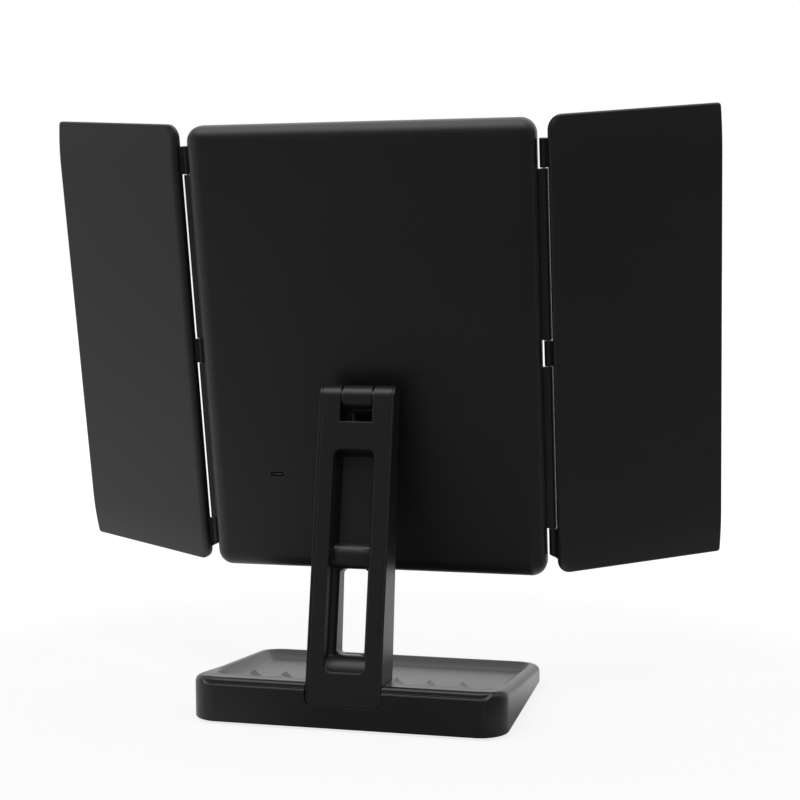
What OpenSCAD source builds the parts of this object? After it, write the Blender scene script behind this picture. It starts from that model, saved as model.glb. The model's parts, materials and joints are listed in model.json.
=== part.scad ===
// Trifold vanity mirror on a tray base. Millimetres.
// +Z is up, the mirror looks towards -Y, the arm stands at the +Y side,
// and X = 0 is the middle of the tray. Z = 0 is the table.

/* [Tray base] */
// Width of the base, left to right
base_w = 200; // [180:1:230]
// Depth of the base, front to back
base_d = 154; // [140:1:170]
// Radius of the base's upright corners
base_corner_r = 16; // [12:0.5:22]
// Height of the rear wall above its bottom edge
base_rear_h = 23; // [21:0.5:28]
// Height of the front wall above its bottom edge
base_front_h = 5.7; // [5.5:0.1:8]
// Wall thickness of the base
base_wall = 3; // [2.4:0.1:3.6]
// How far the rubber feet hold the base off the table
foot_h = 1.5; // [1:0.1:3]
// How far the rolled rim stands above the wall
rim_rise = 4.2; // [3.6:0.1:5]
// Radius of the rolled rim
rim_r = 3.4; // [3:0.1:3.8]
// Height above the wall of the deck behind the tray and of the ridges
deck_rise = 5.2; // [4.6:0.1:5.8]
// Distance from one groove in the tray to the next
groove_pitch = 21.5; // [18:0.5:23]
// Radius of the round grooves
groove_r = 12; // [11.5:0.5:14]
// How far in from the rear wall the ridges end
groove_end = 41; // [36:1:44]

/* [Arm] */
// Width of the arm
arm_w = 48; // [44:0.5:52]
// Forward lean of the arm's rear face
arm_lean = 12.2; // [8:0.1:14]
// Length of the rear face, from its lower end to the tilt hinge
arm_len = 191.4; // [180:0.1:200]
// Radius of the hinge barrel at the top
barrel_r = 7.5; // [7:0.1:8]
// Depth of the arm near its foot
arm_foot_d = 30.5; // [28:0.5:32]
// Wall thickness of the arm
arm_wall = 2.2; // [1.8:0.1:2.6]
// Half width of the long slot
slot_half = 13.2; // [11:0.1:15]
// Height along the arm of the slot's lower end
slot_lo = 20.4; // [18:0.1:24]
// How far below the tilt axis the slot ends
slot_drop = 33.4; // [30:0.2:38]
// Length of the slot's lower part, which is open to the front
window_len = 64; // [54:0.5:74]
// How far below the tilt axis the notch for the middle knuckle reaches
notch_drop = 16.2; // [15:0.1:18]

/* [Centre panel] */
// Width of the centre panel
panel_w = 223; // [200:1:240]
// Height of the centre panel and of the wings
panel_h = 293; // [280:1:300]
// Thickness of the centre panel
panel_t = 13; // [12.5:0.5:15]
// Corner radius of the centre panel
panel_corner_r = 10; // [8:0.5:12]
// Backward lean of the panel as it stands
panel_tilt = 10; // [0:0.5:20]
// Distance from the tilt axis forward to the panel's mid plane
axis_to_mid = 24.9; // [24:0.1:28]
// How far the tilt axis lies below the panel's middle
axis_drop = 21.9; // [10:0.1:30]
// Wall thickness of the panel's rear cover
panel_wall = 2.2; // [1.8:0.1:2.6]
// Width of a light strip
diff_w = 6; // [5:0.5:8]
// Width of the frame outside a light strip
strip_edge = 5.5; // [5:0.5:8]
// Width of the frame between a light strip and the glass
glass_gap = 3; // [2:0.5:4]

/* [Wings] */
// Fold of the left wing as it stands, 0 is flat with the panel
left_fold = 25; // [0:0.5:60]
// Fold of the right wing as it stands
right_fold = 28.5; // [0:0.5:60]
// Thickness of a wing
wing_t = 5.6; // [5.2:0.1:6.4]
// How far behind the hinge axis a wing's front face lies
wing_back = 2.9; // [2.7:0.1:3.3]
// How far the wings stand above the centre panel
wing_lift = 1; // [0:0.1:1.5]
// Radius of the hinge knuckles
knuckle_r = 2.6; // [2.4:0.1:3]
// Radius of the hinge pins
pin_r = 0.8; // [0.7:0.05:1]
// How far the wing's back falls away at its ends
wing_fall = 2.5; // [1:0.1:2.6]
// Length over which it falls away
wing_fall_len = 30; // [20:1:40]

/* [Fits] */
// Radial clearance of a pin that turns
run_c = 0.06; // [0.03:0.01:0.09]
// Radial clearance of a screw in its hole
screw_c = 0.05; // [0.03:0.01:0.1]
// Gap between parts that are put together
part_c = 0.15; // [0.1:0.05:0.3]

/* [Hidden] */
$fn = 64;
e = 0.02;

// ---- places worked out from the sizes above ----
plastic = "#1d1d1f";
rear_y = base_d/2;
slope = atan((base_rear_h - base_front_h)/base_d);
plate_z = foot_h;
plate_t = 2;
arm_z = foot_h + 14;
ca = cos(arm_lean);
sa = sin(arm_lean);
// a point of the arm's side view: n out of the rear face, v up along it
function arm_pt(n, v) = [rear_y - v*sa + n*ca, arm_z + v*ca + n*sa];
tilt_pt = arm_pt(-barrel_r, arm_len);
socket_z = foot_h + 4.9;
arm_front_y = rear_y - arm_foot_d;
ear_in = 10.5;
knuckle_half = 9.5;
shaft_r = 2.5;
half_t = panel_t/2;
shoulder_ang = 60;
hinge_x = panel_w/2 + 0.8 + knuckle_r;
hinge_y = -half_t - 0.6;
slot_hi = arm_len - slot_drop;
window_hi = slot_lo + window_len;
notch_lo = arm_len - notch_drop;
wing_in = knuckle_r - 0.7;
wing_out = hinge_x - 0.4;
// the hinge is split into knuckles at these heights
k_top = panel_h/2 - 13;
k_cut = k_top - 18;
k_low = k_top + 2.2;
k_mid = 8.3;
k_gap = 0.35;
// the socket, its lamp and what stands behind them
usb_x = panel_w/2 - 47.9;
usb_u = 66.5 - panel_h/2;
lamp_x = usb_x - 11.6;
button_u = 8 - panel_h/2;
// light strips and glass fill the front between their margins
diff_x = panel_w/2 - strip_edge - diff_w/2;
diff_h = panel_h - 57;
glass_w = 2*diff_x - diff_w - 2*glass_gap;
glass_h = panel_h - 31;
glass_u = 6;
glass_t = 2.4;
led_n = 16;
led_pitch = (diff_h - 19)/(led_n - 1);
frame_t = 4;
bracket_u = -38;
neck_lo = -axis_drop - barrel_r - 3.9;
bracket_screws = [[14, bracket_u - 13], [-14, bracket_u - 13], [14, bracket_u + 13], [-14, bracket_u + 13]];
foot_x = base_w/2 - 18;
foot_y = base_d/2 - 13;
base_screws = [[-foot_x, 26 - foot_y], [foot_x, 26 - foot_y], [-foot_x, foot_y - 6], [foot_x, foot_y - 6]];
arm_screws = [-13, 13];

// ---- shapes used more than once ----
// outline with four rounded corners
module round_rect(w, h, r) {
  square([w - 2*r, h], center = true);
  square([w, h - 2*r], center = true);
  for (sx = [-1, 1], sy = [-1, 1]) translate([sx*(w/2 - r), sy*(h/2 - r)]) circle(r);
}
// side view given in Y and Z, made w wide about X = x
module side_extrude(w, x = 0) {
  translate([x, 0, 0]) rotate([90, 0, 90]) linear_extrude(w, center = true) children();
}
// plate in X and Z with its outer face towards +Y, w x h, t thick, whose
// outer edge falls away in an arc as deep as its corner radius rc allows
module soft_plate(w, h, t, rc) {
  r = rc/sin(shoulder_ang);
  module edge() {
    square([rc, t - r*(1 - cos(shoulder_ang)) - 0.5]);
    intersection() {
      square([rc, t]);
      translate([0, t - r + 0.05]) circle(r, $fn = 96);
    }
  }
  rotate([90, 0, 180]) {
    translate([-(w/2 - rc), -(h/2 - rc), 0]) cube([w - 2*rc, h - 2*rc, t]);
    for (s = [0, 1]) rotate([0, 0, 180*s]) {
      translate([w/2 - rc, h/2 - rc, 0]) rotate([90, 0, 0]) linear_extrude(h - 2*rc) edge();
      translate([w/2 - rc, h/2 - rc, 0]) rotate([90, 0, 90]) mirror([0, 0, 1]) linear_extrude(w - 2*rc) edge();
      translate([w/2 - rc, h/2 - rc, 0]) rotate_extrude(angle = 90) edge();
      translate([-w/2 + rc, h/2 - rc, 0]) rotate([0, 0, 90]) rotate_extrude(angle = 90) edge();
    }
  }
}
// round-headed screw, head at the origin, shank towards +Z
module screw(r, len, head_r, head_h) {
  difference() {
    translate([0, 0, -head_h]) cylinder(r = head_r, h = head_h);
    translate([0, 0, -head_h - e]) cylinder(r = head_r*0.45, h = head_h*0.6, $fn = 6);
  }
  translate([0, 0, -e]) cylinder(r = r, h = len + e);
}
// places for things in the panel's and wings' own frames
module on_slope() translate([0, rear_y, foot_h + base_rear_h]) rotate([slope, 0, 0]) children();
module on_arm() translate([0, rear_y, arm_z]) rotate([arm_lean, 0, 0]) children();
module on_panel() translate([0, tilt_pt[0], tilt_pt[1]]) rotate([-panel_tilt, 0, 0])
  translate([0, -axis_to_mid, axis_drop]) children();
module on_wing(side) on_panel() mirror([side < 0 ? 1 : 0, 0, 0]) translate([hinge_x, hinge_y, 0])
  rotate([0, 0, side > 0 ? -left_fold : -right_fold]) children();

// ================= tray base =================
module base_outline(inset = 0)
  round_rect(base_w - 2*inset, base_d - 2*inset, base_corner_r - inset);

// everything above the plane of the wall's top edge
module above_wall(lift = 0) on_slope() translate([-150, -220, lift]) cube([300, 300, 60]);

// the arm's lower end with a clearance all round
module arm_hole(c) {
  translate([-arm_w/2 - c, arm_front_y - c, socket_z]) cube([arm_w + 2*c, base_wall*9 + 0.3, 60]);
  translate([0, rear_y - 8, 0]) rotate([-90, 0, 0]) linear_extrude(20)
    translate([0, -(arm_z - c) - 30]) round_rect(arm_w + 2*c, 60, 5 + c);
}

module base_housing() color(plastic) difference() {
  union() {
    difference() {
      translate([0, 0, foot_h]) linear_extrude(40) base_outline();
      translate([0, 0, foot_h + plate_t]) linear_extrude(40) base_outline(base_wall);
      translate([0, 0, foot_h - 1]) linear_extrude(plate_t + 1 + e) base_outline(base_wall - 1.2);
      above_wall();
    }
    // socket that the arm's foot stands in
    difference() {
      translate([-arm_w/2 - 2.4, arm_front_y - 2.4, foot_h + plate_t])
        cube([arm_w + 4.8, arm_foot_d + 1.4, 40]);
      above_wall(-3.8);
      arm_hole(part_c);
    }
  }
  arm_hole(part_c);
  for (x = arm_screws) translate([x, arm_front_y + 12, 0]) {
    cylinder(r = 2 + screw_c, h = 40);
    cylinder(r = 4.2, h = socket_z - 1.8);
  }
}

// cross-section of the rolled rim, x counted inwards from the outline
module rim_section() {
  difference() {
    translate([rim_r + 0.8, rim_rise - rim_r]) circle(rim_r);
    translate([0, -9]) square([12, 9]);
  }
  translate([base_wall + 0.6, -3.1]) square([rim_r + 0.2, 3.4]);
}
// a cross-section carried once round the base's outline
module around_base(depth) {
  w = base_w - 2*base_corner_r;
  d = depth - 2*base_corner_r;
  translate([0, -depth/2, 0]) for (s = [0, 1]) rotate([0, 0, 180*s]) {
    translate([base_w/2, d/2, 0]) mirror([1, 0, 0]) rotate([90, 0, 0]) linear_extrude(d) children();
    translate([-w/2, depth/2, 0]) rotate([90, 0, 90]) linear_extrude(w) mirror([1, 0]) children();
    for (q = [0, 1]) translate([(q == 0 ? 1 : -1)*w/2, d/2, 0]) rotate([0, 0, 90*q])
      rotate_extrude(angle = 90) translate([base_corner_r, 0]) mirror([1, 0]) children();
  }
}
tray_len = base_d/cos(slope);
floor_top = -1.5;
floor_t = 1.5;
deck_half = base_w/2 - 8.5;
// height of the grooves' axes, which leaves a narrow flat on each ridge
groove_z = deck_rise + sqrt(groove_r*groove_r - pow(groove_pitch/2 - 0.35, 2));
// section of the rear crown, x counted from the corner's axis
crown_r = 9;
module crown_section() intersection() {
  translate([base_corner_r - 10, deck_rise + 0.5 - crown_r]) circle(crown_r, $fn = 96);
  translate([0.5, 0]) square([base_corner_r - 2.2, 12]);
}
module base_tray() color(plastic) difference() {
  union() {
    on_slope() {
      around_base(tray_len) rim_section();
      translate([0, -tray_len/2, floor_top - floor_t]) linear_extrude(floor_t)
        round_rect(base_w - 10, tray_len - 10, base_corner_r - 5);
      // crown along the rear and round its corners
      for (q = [0, 1]) mirror([q, 0, 0]) translate([base_w/2 - base_corner_r, -base_corner_r, 0]) {
        rotate_extrude(angle = 90) crown_section();
        translate([0.2, 0, 0]) rotate([90, 0, -90]) linear_extrude(base_w/2 - base_corner_r + 0.2) crown_section();
        // its end, sinking into the side rim
        intersection() {
          translate([0, 0.2, 0]) rotate([3, 0, 0]) rotate([90, 0, 0]) linear_extrude(groove_end - base_corner_r - 4) intersection() {
            crown_section();
            translate([base_corner_r - 9, 0]) square([12, 12]);
          }
          translate([0, -groove_end, 0.3]) cube([30, groove_end + 5, 20]);
        }
      }
      // deck with the grooves cut in it
      difference() {
        translate([-deck_half, -groove_end, floor_top - e]) cube([2*deck_half, groove_end - 9, deck_rise - floor_top + e]);
        for (s = [-1, 1], i = [0:2]) translate([s*(26.5 + groove_pitch*(i + 0.5)), -15.2 - groove_pitch/2, groove_z]) {
          rotate([90, 0, 0]) cylinder(r = groove_r, h = groove_end, $fn = 96);
          sphere(groove_r, $fn = 96);
        }
        translate([-base_w, -groove_end, deck_rise]) rotate([-62, 0, 0]) translate([0, -20, -20]) cube([2*base_w, 20, 40]);
      }
    }
    // posts for the screws, cut off below by the bottom plate
    difference() {
      for (p = base_screws) translate([p[0], p[1], 0]) cylinder(r = 3.6, h = 30);
      translate([-150, -150, -1]) cube([300, 300, 1 + foot_h + plate_t]);
      above_wall(floor_top - floor_t + e);
    }
  }
  arm_hole(part_c);
  for (p = base_screws) translate([p[0], p[1], 0])
    cylinder(r = 1.5 + screw_c, h = foot_h + plate_t + (p[1] > 0 ? 10 : 5.6));
}

module base_bottom_plate() color("#232325") difference() {
  translate([0, 0, plate_z]) linear_extrude(plate_t) base_outline(base_wall - 1.2 + part_c);
  for (x = arm_screws) translate([x, arm_front_y + 12, 0]) cylinder(r = 4.4, h = 10);
  for (p = base_screws) translate([p[0], p[1], 0]) {
    cylinder(r = 1.5 + 0.2, h = 10);
    cylinder(r = 3.1, h = plate_z + 1);
  }
  for (sx = [-1, 1], sy = [-1, 1]) translate([sx*foot_x, sy*foot_y - (sy > 0 ? 18 : 0), 0]) cylinder(r = 6.1, h = plate_z + 0.8);
}
module foot(sx, sy) color("#2a2a2a") translate([sx*foot_x, sy*foot_y - (sy > 0 ? 18 : 0), 0]) {
  cylinder(r1 = 5.2, r2 = 6, h = 0.6);
  translate([0, 0, 0.6]) cylinder(r = 6, h = plate_z + 0.8 - 0.6);
}
module ballast(s) color("#6d6f72") translate([s*(base_w/4 + 2) - base_w*0.11, base_d/2 - 73, plate_z + plate_t]) cube([base_w*0.22, base_d*0.3, 8]);
module base_screw(i) color("#8c8e90") translate([base_screws[i][0], base_screws[i][1], plate_z + 1])
  screw(1.5, base_screws[i][1] > 0 ? 9 : 5, 2.9, 0.95);
module arm_screw(s) color("#8c8e90") translate([s*13, arm_front_y + 12, socket_z - 1.8]) screw(2, 13, 3.9, 2);

// ================= arm =================
// the arm's outline from the side, with the round of the barrel at its top
module arm_side() {
  polygon([arm_pt(0, 0), arm_pt(0, arm_len), arm_pt(-2*barrel_r, arm_len),
    [arm_front_y - 1.8, arm_z + 18], [arm_front_y, arm_z + 11.4], [arm_front_y, socket_z],
    [rear_y - 3.4, socket_z], [rear_y - 3.4, arm_z]]);
  translate(tilt_pt) circle(barrel_r, $fn = 96);
}
// the hollow inside it
module arm_hollow() {
  polygon([arm_pt(-2.05, 9), arm_pt(-2.05, notch_lo - 6), arm_pt(-2*barrel_r + 1.4, notch_lo - 6),
    [arm_front_y + 1.6, arm_z + 18], [arm_front_y + 3, arm_z + 9]]);
}
// the long slot: upper part with a floor, lower part open to the front
module slot_void() on_arm() {
  mid = window_hi + 15;
  intersection() {
    translate([0, 5, 0]) rotate([90, 0, 0]) linear_extrude(60)
      translate([0, (slot_lo + slot_hi)/2]) round_rect(2*slot_half, slot_hi - slot_lo, 4.6);
    union() {
      // upper recess with leaning side walls
      intersection() {
        translate([0, 0, mid - 9]) linear_extrude(slot_hi - mid + 9)
          polygon([[-slot_half - 0.35, 1], [slot_half + 0.35, 1], [slot_half - 3.6, -11], [-slot_half + 3.6, -11]]);
        side_extrude(60) polygon([[1, mid - 9], [1, slot_hi + 0.35], [-11, slot_hi - 4], [-11, mid - 9]]);
      }
      // lower recess, rounded in towards the window's lip
      intersection() {
        translate([0, 0, slot_lo]) linear_extrude(window_hi - slot_lo + 6) difference() {
          translate([-slot_half, -15]) square([2*slot_half, 16]);
          for (s = [-1, 1]) translate([s*(slot_half + 0.4), -15]) circle(5);
        }
        side_extrude(60) difference() {
          translate([-15, slot_lo]) square([16, 90]);
          translate([-15, slot_lo - 0.5]) circle(11.5);
        }
      }
    }
  }
  // window
  translate([0, -8, 0]) rotate([90, 0, 0]) linear_extrude(40)
    translate([0, (slot_lo + 11 + window_hi)/2]) round_rect(2*slot_half - 8.6, window_hi - slot_lo - 11, 3);
}
// rounded bar across the slot, between recess and window
module slot_bar() on_arm() side_extrude(2*slot_half + 1) translate([-10.2, window_hi + 7.6]) round_rect(10, 14.6, 4);

module barrel(r, x0, x1) translate([x0, tilt_pt[0], tilt_pt[1]]) rotate([0, 90, 0]) cylinder(r = r, h = x1 - x0);

// band that the rear cover fills: the rear face and the barrel's outer skin,
// drawn in the arm's own side view
module cover_band(c) on_arm() side_extrude(arm_w - 3.4 + 2*c) {
  translate([-2 - c, -1]) square([8, arm_len + 1 + (c > 0 ? 0 : 0.3)]);
  difference() {
    translate([-barrel_r, arm_len]) circle(barrel_r + 2);
    translate([-barrel_r, arm_len]) circle(barrel_r - 2.3 - c);
    translate([-40, arm_len - 40 - c]) square([40 - 2 - c, 40]);
    translate([-40, arm_len - 80]) square([80, 79]);
  }
}

module arm_front_shell() color(plastic) {
  slot_bar();
  difference() {
  union() {
    difference() {
      side_extrude(arm_w) arm_side();
      side_extrude(arm_w - 2*arm_wall) arm_hollow();
      cover_band(part_c);
    }
    // walls round the slot, reaching from the cover to the front face
    intersection() {
      side_extrude(2*slot_half + 4) arm_side();
      on_arm() difference() {
        translate([-40, -60, slot_lo - 4]) cube([80, 60 - 2 - part_c, slot_hi - slot_lo + 8]);
        translate([-40, -60, window_hi + 18]) cube([80, 60 - 13, 100]);
      }
    }
    // posts for the screws and for the cover's pins
    intersection() {
      side_extrude(arm_w - 2) arm_hollow();
      for (x = [-18.4, 18.4], v = [40, 120]) on_arm() translate([x, -2 - part_c, v]) rotate([90, 0, 0]) cylinder(r = 2.9, h = 40);
    }
  }
  slot_void();
  // notch for the middle knuckle
  on_arm() translate([-ear_in, -40, notch_lo]) cube([2*ear_in, 60, 60]);
  // rounded lower corners of the rear face
  difference() {
    translate([-50, rear_y - 3.4 - e, 0]) cube([100, 10, arm_z + 8]);
    translate([0, rear_y - 20, 0]) rotate([-90, 0, 0]) linear_extrude(40) translate([0, -arm_z - 30]) round_rect(arm_w, 60, 5);
  }
  barrel(shaft_r + screw_c, -30, 30);
  for (s = [-1, 1]) {
    barrel(4.3, s > 0 ? 18.2 : -22.7, s > 0 ? 22.7 : -18.2);
    barrel(5.4, s > 0 ? 22.5 : -30, s > 0 ? 30 : -22.5);
  }
  for (x = arm_screws) translate([x, arm_front_y + 12, 0]) cylinder(r = 2 + screw_c, h = socket_z + 12);
  for (x = [-18.4, 18.4], v = [40, 120]) on_arm() translate([x, -6.4, v]) rotate([-90, 0, 0]) cylinder(r = 1.5 + screw_c, h = 10);
  }
}

module arm_rear_cover() color(plastic) difference() {
  union() {
    intersection() {
      cover_band(0);
      side_extrude(arm_w) arm_side();
    }
    for (x = [-18.4, 18.4], v = [40, 120]) on_arm() translate([x, -6, v]) rotate([-90, 0, 0]) cylinder(r = 1.5, h = 5);
  }
  slot_void();
  on_arm() translate([-ear_in, -40, notch_lo]) cube([2*ear_in, 60, 60]);
  difference() {
    translate([-50, rear_y - 10, 0]) cube([100, 20, arm_z + 8]);
    translate([0, rear_y - 20, 0]) rotate([-90, 0, 0]) linear_extrude(40) translate([0, -arm_z - 30]) round_rect(arm_w, 60, 5);
  }
}

module tilt_shaft() color("#9a9c9e") {
  barrel(shaft_r, -20, 21);
  difference() {
    barrel(4, 18.3, 21);
    barrel(1.6, 19.5, 22);
  }
}
module tilt_nut() color("#9a9c9e") difference() {
  barrel(4, -21.2, -18.3);
  barrel(shaft_r + screw_c, -22, -17);
}
module friction_washer(s) color("#b0b2b4") difference() {
  barrel(5.2, s > 0 ? knuckle_half + 0.05 : -ear_in + 0.05, s > 0 ? ear_in - 0.05 : -knuckle_half - 0.05);
  barrel(shaft_r + screw_c, -12, 12);
}
module hinge_cap(s) color(plastic) barrel(5.3, s > 0 ? 22.55 : -arm_w/2, s > 0 ? arm_w/2 : -22.55);

// ================= centre panel =================
module tilt_bracket() color(plastic) difference() {
  union() {
    barrel(barrel_r, -knuckle_half, knuckle_half);
    on_panel() {
      // neck from the knuckle to the plate, hanging below the barrel as a
      // tongue with a rounded lower edge
      intersection() {
        side_extrude(30) {
          translate([half_t + 3, neck_lo - 0.5]) square([axis_to_mid - half_t - 7.5, 15.3]);
          translate([half_t + 3, neck_lo + 2]) square([axis_to_mid - half_t - 5, 12.8]);
          translate([axis_to_mid - 4.5, neck_lo + 2]) circle(2.5);
        }
        rotate([-90, 0, 0]) linear_extrude(40) translate([0, 15 - neck_lo - 30]) round_rect(2*knuckle_half - 1, 30, 2.6);
      }
      translate([0, half_t, bracket_u]) rotate([-90, 0, 0]) linear_extrude(4) round_rect(38, 36, 4);
      // ribs beside the neck
      for (x = [-knuckle_half + 1.2, knuckle_half - 3.2]) translate([x, 0, 0]) rotate([90, 0, 90]) linear_extrude(2)
        polygon([[half_t + 3, bracket_u - 16], [half_t + 3, bracket_u + 17], [axis_to_mid - 6, -axis_drop + 2], [axis_to_mid - 6, -axis_drop - barrel_r + 1]]);
    }
  }
  barrel(shaft_r + run_c, -30, 30);
  on_panel() for (p = bracket_screws) translate([p[0], half_t - 1, p[1]]) rotate([-90, 0, 0]) cylinder(r = 1.5 + screw_c, h = 4.4);
}
module bracket_screw(i) color("#8c8e90") on_panel()
  translate([bracket_screws[i][0], half_t - panel_wall, bracket_screws[i][1]]) rotate([-90, 0, 0]) screw(1.5, 5.2, 2.9, 1.4);

module panel_rear_cover() color(plastic) on_panel() difference() {
  translate([0, -half_t + frame_t, 0]) soft_plate(panel_w, panel_h, panel_t - frame_t, panel_corner_r);
  translate([0, -half_t + frame_t - 1, 0]) soft_plate(panel_w - 2*panel_wall, panel_h - 2*panel_wall, panel_t - frame_t + 1 - panel_wall, panel_corner_r - panel_wall);
  for (p = bracket_screws) translate([p[0], 0, p[1]]) rotate([-90, 0, 0]) cylinder(r = 1.7, h = 20);
  translate([usb_x, 0, usb_u]) rotate([-90, 0, 0]) linear_extrude(20) round_rect(9.6, 3.8, 1.3);
  translate([lamp_x, 0, usb_u]) rotate([-90, 0, 0]) cylinder(r = 0.8, h = 20);
}

// one side's long knuckles, carried by the front frame
module centre_knuckles() for (u = [k_mid + k_gap, -k_cut + k_gap])
  translate([hinge_x, hinge_y, u]) {
    cylinder(r = knuckle_r, h = k_cut - k_mid - 2*k_gap);
    translate([-knuckle_r - 1.2, 0.6, 0]) cube([knuckle_r + 1.2, 2, k_cut - k_mid - 2*k_gap]);
  }
module panel_front_frame() color(plastic) on_panel() difference() {
  union() {
    translate([0, -half_t, 0]) rotate([-90, 0, 0]) linear_extrude(frame_t) round_rect(panel_w, panel_h, panel_corner_r);
    // lip that the rear cover snaps over
    translate([0, -half_t + frame_t - e, 0]) rotate([-90, 0, 0]) linear_extrude(2) difference() {
      round_rect(panel_w - 2*panel_wall - 2*part_c, panel_h - 2*panel_wall - 2*part_c, panel_corner_r - panel_wall);
      round_rect(panel_w - 2*panel_wall - 3, panel_h - 2*panel_wall - 3, panel_corner_r - panel_wall - 1);
    }
    centre_knuckles();
    mirror([1, 0, 0]) centre_knuckles();
  }
  // seat for the glass, and the opening behind it
  translate([0, -half_t - 1, glass_u]) rotate([-90, 0, 0]) linear_extrude(glass_t + 1 + 0.1) round_rect(glass_w + 0.4, glass_h + 0.4, 4.2);
  translate([0, -half_t - 1, glass_u]) rotate([-90, 0, 0]) linear_extrude(20) round_rect(glass_w - 30, glass_h - 40, 4);
  for (s = [-1, 1]) {
    translate([s*diff_x, -half_t - 1, 0]) rotate([-90, 0, 0]) linear_extrude(20) round_rect(diff_w + 2*part_c, diff_h + 2*part_c, 2);
    translate([s*hinge_x, hinge_y, -k_cut - 10]) cylinder(r = pin_r + run_c, h = 2*k_cut + 20);
  }
  translate([0, -half_t - 1, button_u]) rotate([-90, 0, 0]) cylinder(r = 4.3, h = 10);
  translate([0, -half_t + 1.8, button_u]) rotate([-90, 0, 0]) cylinder(r = 5.3, h = 10);
}
module centre_mirror() color("#c9d2d8") on_panel() translate([0, -half_t, glass_u]) rotate([-90, 0, 0])
  linear_extrude(glass_t) round_rect(glass_w, glass_h, 4);

module diffuser(s) color("#eef0ee") on_panel() translate([s*diff_x, -half_t, 0]) rotate([-90, 0, 0])
  linear_extrude(3.6) round_rect(diff_w, diff_h, 2);
module led_board(s) {
  color("#e8e8e2") on_panel() translate([s*diff_x, 0, 0]) {
    translate([-diff_w/2 - 0.4, -half_t + frame_t + 0.9, 3 - diff_h/2]) cube([diff_w + 0.8, 1.2, diff_h - 6]);
    for (i = [0:led_n - 1]) translate([-1.4, -half_t + frame_t + 0.1, led_pitch*(i - (led_n - 1)/2) - 1.4]) cube([2.8, 0.82, 2.8]);
  }
}
module control_board() color("#1f6b3a") on_panel() {
  difference() {
    translate([usb_x - 25.6, -2, usb_u - 18]) cube([42, 1.4, 32]);
    for (x = [-22.6, 13.4], u = [-15, 11]) translate([usb_x + x, -4, usb_u + u]) rotate([-90, 0, 0]) cylinder(r = 1.1, h = 10);
  }
  translate([usb_x - 18.6, -0.62, usb_u - 12]) cube([7, 1.2, 7]);
  translate([usb_x + 4.4, -0.62, usb_u - 14]) cube([5, 1.6, 4]);
  translate([usb_x - 19.6, -0.62, usb_u + 6]) cube([10, 2.6, 5]);
}
module usb_socket() color("#a8aaac") on_panel() difference() {
  translate([usb_x, -0.6, usb_u]) rotate([-90, 0, 0]) linear_extrude(half_t - 0.1) round_rect(9.1, 3.3, 1.2);
  translate([usb_x, 0.6, usb_u]) rotate([-90, 0, 0]) linear_extrude(20) difference() {
    round_rect(8.5, 2.7, 1);
    square([6.7, 0.7], center = true);
  }
}
module indicator_lens() color("#dfe6df") on_panel() translate([lamp_x, -0.6, usb_u]) rotate([-90, 0, 0]) cylinder(r = 0.7, h = half_t + 0.3);
module battery_cell() color("#9fb4c8") on_panel() translate([24 - panel_w/2, -2.2, usb_u - 20]) cube([panel_w*0.233, 5.4, panel_h*0.24]);

module power_button() color("#2a2a2c") on_panel() translate([0, -half_t - 0.4, button_u]) rotate([-90, 0, 0]) {
  cylinder(r = 4, h = 3.2);
  translate([0, 0, 2.4]) cylinder(r = 4.9, h = 0.9);
  translate([0, 0, 3.1]) cylinder(r = 1.4, h = 0.7);
}
module button_switch() color("#55585a") on_panel() translate([0, 0, button_u]) {
  translate([-3, -1.6, -3]) cube([6, 3.1, 6]);
  translate([0, -2.4, 0]) rotate([-90, 0, 0]) cylinder(r = 1.7, h = 1);
}
module button_board() color("#1f6b3a") on_panel() translate([-9, 1.5, button_u - 2.3]) cube([18, 1.4, 8.6]);

// ================= wings =================
// a wing's outline, rounded at the hinge side, nearly square at its free side
module wing_outline() {
  w = wing_out - wing_in;
  h = panel_h;
  translate([wing_in, wing_lift]) {
    translate([9, -h/2]) square([w - 9 - 2, h]);
    translate([0, -h/2 + 9]) square([w, h - 18]);
    for (s = [-1, 1]) {
      translate([9, s*(h/2 - 9)]) circle(9);
      translate([w - 2, s*(h/2 - 2)]) circle(2);
      translate([w - 12, s > 0 ? h/2 - 12 : -h/2 + 2]) square([12, 10]);
    }
  }
}
module wing_up() translate([0, wing_back, 0]) rotate([90, 0, 0]) mirror([0, 0, 1]) children();
// the wing's side view: thickness along x, height along y, ends falling away
module wing_side() {
  r = (wing_fall_len*wing_fall_len + wing_fall*wing_fall)/(2*wing_fall);
  flat_h = panel_h/2 - wing_fall_len;
  translate([wing_back, wing_lift]) {
    translate([0, -flat_h]) square([wing_t, 2*flat_h]);
    for (s = [-1, 1]) intersection() {
      translate([wing_t - r, s*flat_h]) circle(r, $fn = 360);
      translate([0, s > 0 ? flat_h - e : -panel_h/2 - 1]) square([wing_t, wing_fall_len + e + 1]);
    }
  }
}
// its plan: the back's edge is rounded towards the hinge
edge_r = 5;
module wing_plan() translate([wing_in, wing_back]) {
  translate([3.4, -1]) square([140, 20]);
  translate([-1, -1]) square([5, wing_t - edge_r + 1.35]);
  intersection() {
    translate([-1, 0]) square([5, 20]);
    translate([3.6, wing_t - edge_r + 0.35]) circle(edge_r, $fn = 96);
  }
}
bezel_t = 2.3;
wing_glass_t = 1.6;
wing_w = wing_out - wing_in;
wing_hollow_h = panel_h - 44;
module wing_cover(side) color(plastic) on_wing(side) difference() {
  intersection() {
    translate([0, bezel_t, 0]) wing_up() linear_extrude(wing_t) wing_outline();
    rotate([90, 0, 90]) linear_extrude(140) wing_side();
    translate([0, 0, -200]) linear_extrude(400) wing_plan();
  }
  translate([wing_in + 2.2, 0, wing_lift - wing_hollow_h/2]) cube([wing_w - 4.2, wing_back + wing_t - 1.8, wing_hollow_h]);
}
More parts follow.
